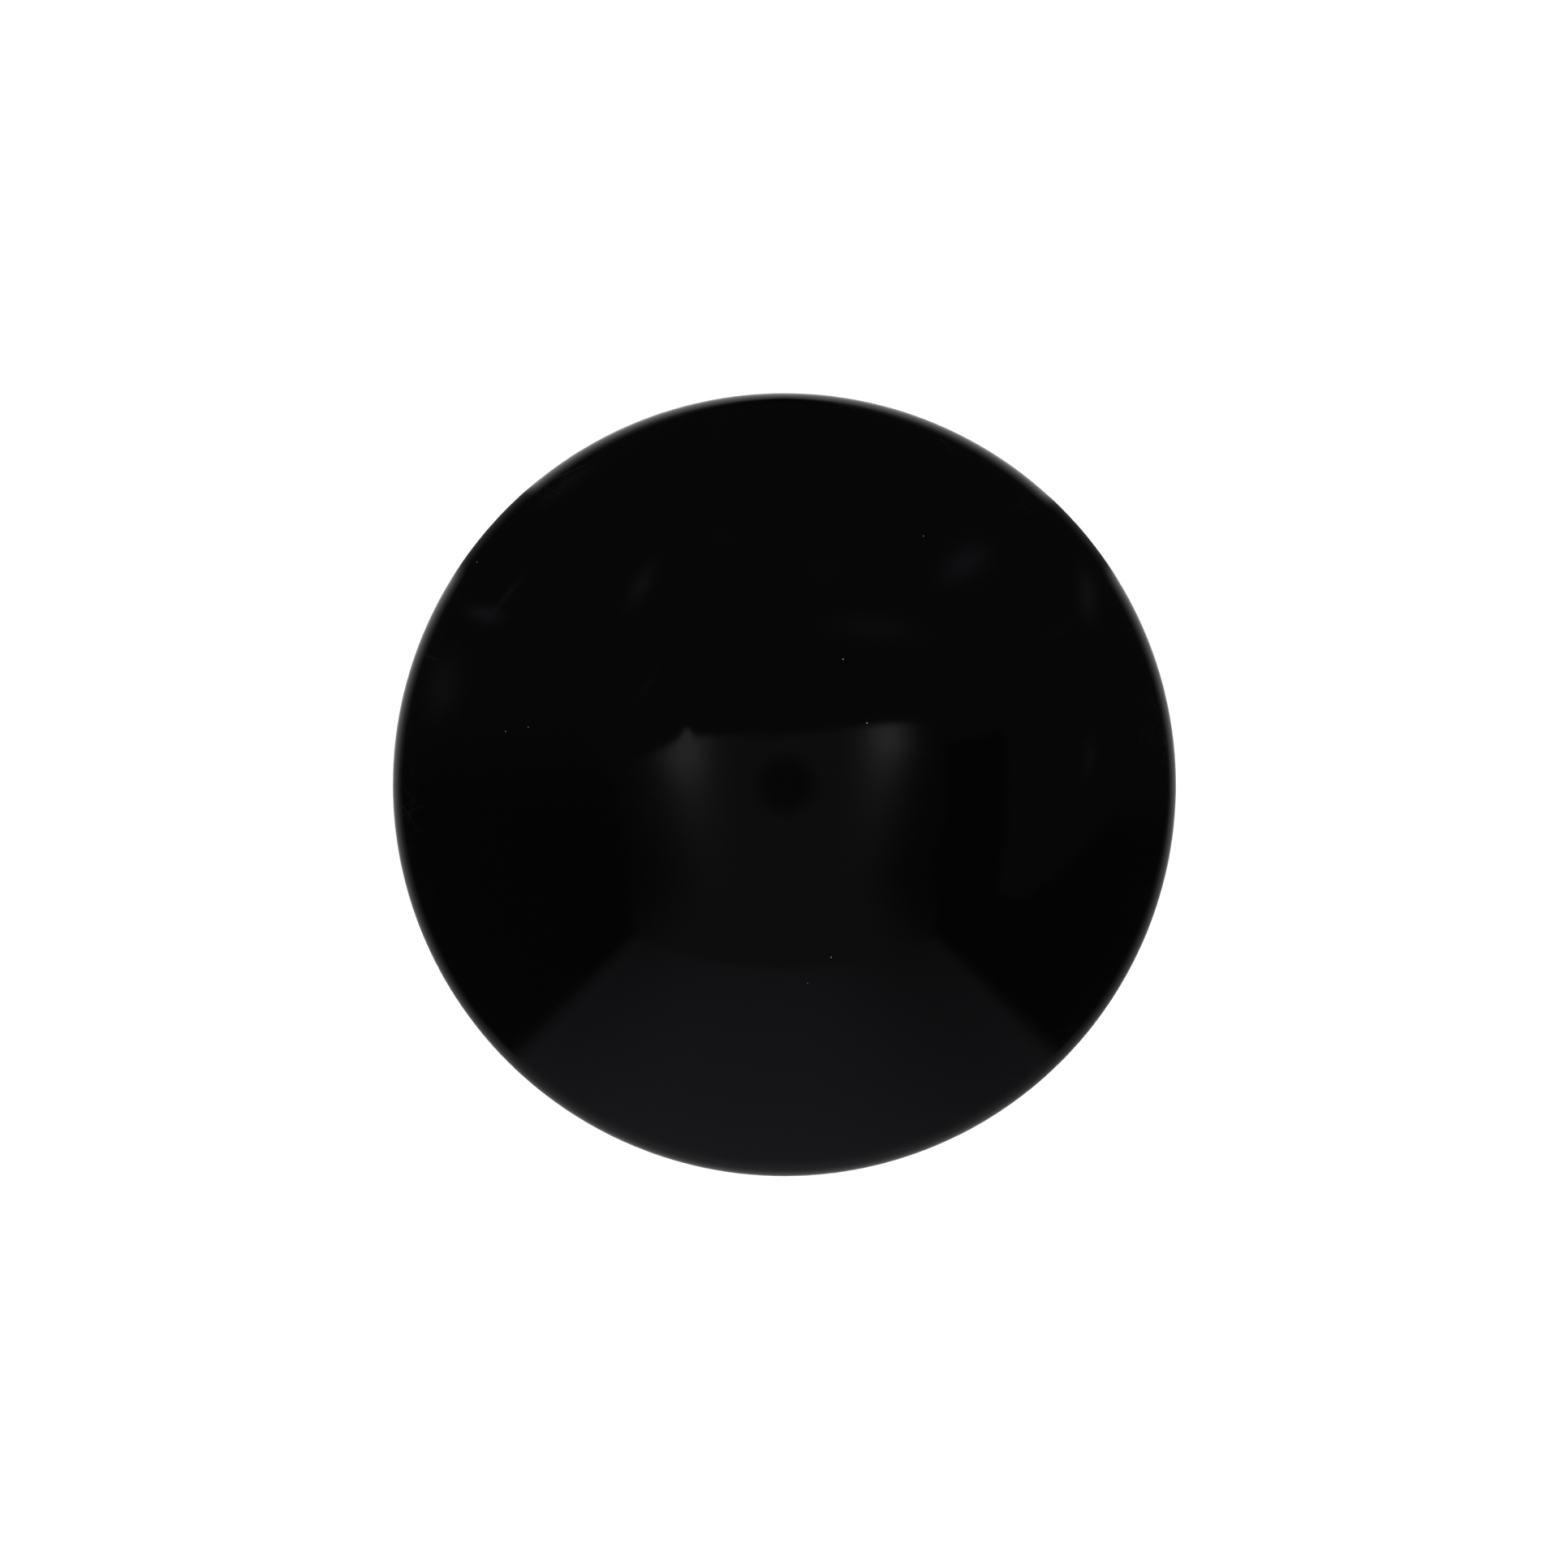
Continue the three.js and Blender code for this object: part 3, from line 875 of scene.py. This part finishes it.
def plane(name, width, height, matrix):
    """A flat stage card, which stands for no part of the button."""
    bm = bmesh.new()
    corners = [(-1, -1), (1, -1), (1, 1), (-1, 1)]
    bm.faces.new([bm.verts.new((x * width / 2, y * height / 2, 0)) for x, y in corners])
    obj = meshed(name, bm)
    obj.matrix_world = matrix
    return obj


class Glow:
    """An emission whose strength varies over a stage card, in the card's own metres."""

    def __init__(self, name):
        self.material = bpy.data.materials.new(name)
        self.material.use_nodes = True
        self.tree = self.material.node_tree
        self.tree.nodes.clear()
        _, (self.x, self.y, _) = coordinates(self.tree)

    def finish(self, strength, colour=(1, 1, 1), cover=None):
        """The finished material. cover is 1 where the card is solid, and 0 where what is
        behind it shows."""
        emit = self.tree.nodes.new("ShaderNodeEmission")
        if isinstance(colour, bpy.types.NodeSocket):
            self.tree.links.new(colour, emit.inputs["Color"])
        else:
            emit.inputs["Color"].default_value = (*colour, 1)
        feed(self.tree, emit.inputs["Strength"], strength)
        shown = emit.outputs[0]
        if cover is not None:
            clear = self.tree.nodes.new("ShaderNodeBsdfTransparent")
            mix = self.tree.nodes.new("ShaderNodeMixShader")
            feed(self.tree, mix.inputs[0], cover)
            self.tree.links.new(clear.outputs[0], mix.inputs[1])
            self.tree.links.new(shown, mix.inputs[2])
            shown = mix.outputs[0]
        output = self.tree.nodes.new("ShaderNodeOutputMaterial")
        self.tree.links.new(shown, output.inputs["Surface"])
        return self.material


def hang(card, material):
    """Gives a card its glow, and hides it from everything but reflections."""
    card.data.materials.append(material)
    card.visible_camera = card.visible_diffuse = card.visible_shadow = False
    card.visible_transmission = card.visible_volume_scatter = False


def make_panel():
    """A white panel that stands on the table in front of the button, brighter low down."""
    turn = Matrix.Rotation(math.pi / 2, 4, "X")
    matrix = Matrix.Translation((0, -PANEL_AWAY, PANEL_H / 2)) @ turn
    spare_w = 0.2
    panel = plane("panel", 2 * PANEL_HALF_W + spare_w, PANEL_H, matrix)
    g = Glow("panel_glow")
    off_middle, bow, softness = 0.005, 0.247, 0.012
    x, height = g.x - off_middle, g.y + PANEL_H / 2
    top = x * x * bow + PANEL_TOP_H
    up = height / PANEL_TOP_H
    glow = up * up * -0.042 + 0.170 + up.step(0.0, 0.035, 0.10, 0.0)
    left_end = x.step(-0.55, -0.2, 0.76, 1.0)
    right_end = x.step(0.0, 0.45, 1.0, 0.64)
    dark_line = x.bell(-0.50, 0.010) * 0.008
    glow = glow * left_end * right_end - dark_line
    side = x.math("ABSOLUTE").step(PANEL_HALF_W + 0.03, PANEL_HALF_W - 0.06)
    cover = side * (top - height).step(-softness, softness)
    hang(panel, g.finish(glow, (0.96, 0.975, 1.09), cover))


def make_board():
    """A board over the camera, washed by two lamps at its far corners. The lens shows in it
    as a dark round."""
    board = plane("board", BOARD_W, BOARD_L, Matrix.Translation((0, BOARD_MIDDLE_Y, BOARD_Z)))
    g = Glow("board_glow")
    x, y = g.x, g.y + BOARD_MIDDLE_Y
    behind = (y + 0.3).math("MAXIMUM", 0.0) * 0.75
    before = (y + 0.3).math("MINIMUM", 0.0)
    spread = x / (behind + before * before * 4.5 + 1.0)
    glow = spread.step(-0.57, -0.24, 0.031, 0.089) * spread.step(0.23, 0.49, 1.0, 0.36)
    lens = vector_length(x - 0.006, y).step(0.132, 0.052)
    glow = glow * (lens * -0.60 + 1.0)
    lean, fade = 0.2, 0.108
    for at, start, width, power in LAMPS:
        below = (y - start).math("MINIMUM", 0.0)
        middle = below * math.copysign(lean, at) + at
        glow = glow + x.bell(middle, width) * (below / fade).math("EXPONENT") * power
    edge = y - x.math("MAXIMUM", 0.0) * 0.13 - (x + 0.34).math("MINIMUM", 0.0) * 0.35
    peak = x.bell(-0.345, 0.022) * 0.032
    cover = (edge - peak).step(0.185, 0.145)
    cover = cover * spread.step(-0.66, -0.56) * spread.step(0.62, 0.50)
    cover = cover * x.math("ABSOLUTE").step(0.68, 0.60)
    bluish, white = (0.95, 0.98, 1.20), (0.985, 0.985, 1.04)
    tint = blended(g.tree, glow.step(0.03, 0.085), bluish, white)
    hang(board, g.finish(glow, tint, cover))


def left_flag_cover(y, z):
    """Solid but for its slanting far edge and its upper far corner."""
    far_edge = (y / (z * 0.189 + 0.173)).step(1.05, -0.50)
    return far_edge * (z + y * 1.2).step(1.30, 1.16)


def right_flag_cover(y, z):
    """Solid but for its lower far corner and an opening next to it."""
    cover = z.step(0.70, 0.84) * y.step(0.26, 0.19)
    cover = cover.math("MAXIMUM", y.step(0.02, -0.17))
    gap = z.step(0.86, 0.76) * (z + y * 1.03).step(0.11, 0.23) * y.step(-0.49, -0.41)
    return cover * (gap * -1.0 + 1.0)


def make_flag(name, side, cover, low_glow, high_glow):
    """A dark screen at one side of the button. side is -1 for left and 1 for right."""
    turn = Matrix.Rotation(math.pi / 2, 4, "Z") @ Matrix.Rotation(math.pi / 2, 4, "X")
    middle = (side * FLAG_AWAY, FLAG_END_Y - FLAG_L / 2, FLAG_H / 2)
    flag = plane(name, FLAG_L, FLAG_H, Matrix.Translation(middle) @ turn)
    g = Glow("flag_glow")
    y, z = g.x + FLAG_END_Y - FLAG_L / 2, g.y + FLAG_H / 2
    hang(flag, g.finish(z.step(0.0, 0.9, low_glow, high_glow), cover=cover(y, z)))


def make_glint(azimuth, lean, spin, length, width, power, blue):
    """A faint streak of light far away. Its place is an azimuth and a lean from straight up,
    and its spin is the angle from the line of lean, all in degrees. Its far end is brighter."""
    a, t, w = (math.radians(v) for v in (azimuth, lean, spin))
    towards = Vector((math.sin(t) * math.cos(a), math.sin(t) * math.sin(a), math.cos(t)))
    down = Vector((math.cos(t) * math.cos(a), math.cos(t) * math.sin(a), -math.sin(t)))
    around = Vector((-math.sin(a), math.cos(a), 0))
    along = down * math.cos(w) + around * math.sin(w)
    axes = Matrix((along, (-towards).cross(along), -towards)).transposed().to_4x4()
    matrix = Matrix.Translation(towards * GLINT_AWAY) @ axes
    card = plane("glint", length * 2, width * 3, matrix)
    g = Glow("glint_glow")
    cover = g.x.bell(0.0, length / 2) * g.y.bell(0.0, width / 2)
    edge = g.x.math("ABSOLUTE").step(length, length * 0.8)
    edge = edge * g.y.math("ABSOLUTE").step(width * 1.5, width * 1.2)
    glow = g.x.step(-length, length, power * 0.6, power * 1.4) + ROOM_GLOW
    colour = [1.0 + blue * shift for shift in (-0.06, -0.03, 0.16)]
    hang(card, g.finish(glow, colour, cover * edge))


def make_bounce():
    """The white table as the button mirrors it: bright close by, darker further out."""
    bounce = plane("bounce", 4, 4, Matrix.Translation((0, 0, -1 * MM)))
    g = Glow("bounce_glow")
    radius = vector_length(g.x, g.y)
    ahead, side = g.y / radius, g.x / radius
    bright_r, near_fade, near_share, floor_glow = 0.045, 0.028, 0.3, 0.016
    away = (radius - bright_r).math("MAXIMUM", 0.0)
    reach = (ahead * side).math("ABSOLUTE") * 0.65 + side * side * 0.12 + 0.035
    reach = reach + ahead.step(-0.6, -0.8, 0.0, 3.0) + side.step(-0.8, -1.0, 0.0, 0.12)
    near = (away / -near_fade).math("EXPONENT") * near_share
    near = near + (away / reach * -1.0).math("EXPONENT") * (1 - near_share)
    glow = ahead.step(-0.75, 0.95, 0.33, 0.98) + ahead.step(-0.72, -0.9, 0.0, 0.11) - side * 0.05
    gaps = side.step(0.66, 0.70) * side.step(0.86, 0.82)
    gaps = gaps + side.step(-0.63, -0.67) * side.step(-0.86, -0.82)
    gaps = gaps * ahead.step(0.0, 0.1) * -0.85 + 1.0
    hang(bounce, g.finish(glow * gaps * near + floor_glow))


def make_floor():
    """A pale table, which gets no darker further away. The button mirrors the bounce card
    in its place."""
    floor = plane("floor", 6, 6, Matrix())
    pale, matt = (0.9, 0.9, 0.9, 1), 0.9
    near, far = 0.15, 0.8
    material = bpy.data.materials.new("pale_floor")
    material.use_nodes = True
    tree = material.node_tree
    shader = tree.nodes["Principled BSDF"]
    shader.inputs["Base Color"].default_value = pale
    shader.inputs["Roughness"].default_value = matt
    shader.inputs["Specular IOR Level"].default_value = 0.0
    shader.inputs["Emission Color"].default_value = (1, 1, 1, 1)
    _, (x, y, _) = coordinates(tree)
    feed(tree, shader.inputs["Emission Strength"], vector_length(x, y).step(near, far))
    floor.data.materials.append(material)
    floor.visible_glossy = False


def make_softbox(name, place, size, power):
    """A square light that points at the button."""
    data = bpy.data.lights.new(name, "AREA")
    data.shape, data.size, data.energy = "SQUARE", size, power
    light = piece(name, data)
    light.location = place
    light.rotation_euler = Vector(place).to_track_quat("Z", "Y").to_euler()
    light.visible_glossy = False
    light.visible_camera = False


def make_world():
    """White to the camera, and to all other rays a dim room, dimmer still low down."""
    world = bpy.data.worlds.new("room")
    world.use_nodes = True
    tree = world.node_tree
    tree.nodes.clear()
    room, white = (tree.nodes.new("ShaderNodeBackground") for _ in range(2))
    _, (_, _, rise) = coordinates(tree, "Generated")
    feed(tree, room.inputs["Strength"], rise.step(0.0, 0.5, LOW_ROOM_GLOW, ROOM_GLOW))
    white.inputs["Strength"].default_value = 1.0
    for background in (room, white):
        background.inputs["Color"].default_value = (1, 1, 1, 1)
    path = tree.nodes.new("ShaderNodeLightPath")
    mix = tree.nodes.new("ShaderNodeMixShader")
    output = tree.nodes.new("ShaderNodeOutputWorld")
    tree.links.new(path.outputs["Is Camera Ray"], mix.inputs[0])
    tree.links.new(room.outputs[0], mix.inputs[1])
    tree.links.new(white.outputs[0], mix.inputs[2])
    tree.links.new(mix.outputs[0], output.inputs["Surface"])
    bpy.context.scene.world = world


def make_studio():
    make_camera()
    make_world()
    make_floor()
    make_panel()
    make_board()
    make_flag("left_flag", -1, left_flag_cover, 0.0215, 0.0190)
    make_flag("right_flag", 1, right_flag_cover, 0.0180, 0.0150)
    make_bounce()
    for glint in GLINTS:
        make_glint(*glint)
    make_softbox("top_light", place=(0, 0, 1.6), size=1.6, power=50)
    make_softbox("left_light", place=(-1.4, 0.5, 1.3), size=1.0, power=9.6)
    make_softbox("right_light", place=(1.4, -0.3, 1.3), size=1.0, power=9.6)
    bpy.context.scene.view_settings.view_transform = "Standard"


make_studio()
make_dome(gloss_black())
make_base(satin_black())
make_weight(mill_steel())
make_damper(closed_cell_foam())
make_film(transfer_film())
make_felt(wool_felt())
make_screws(zinc_plate())
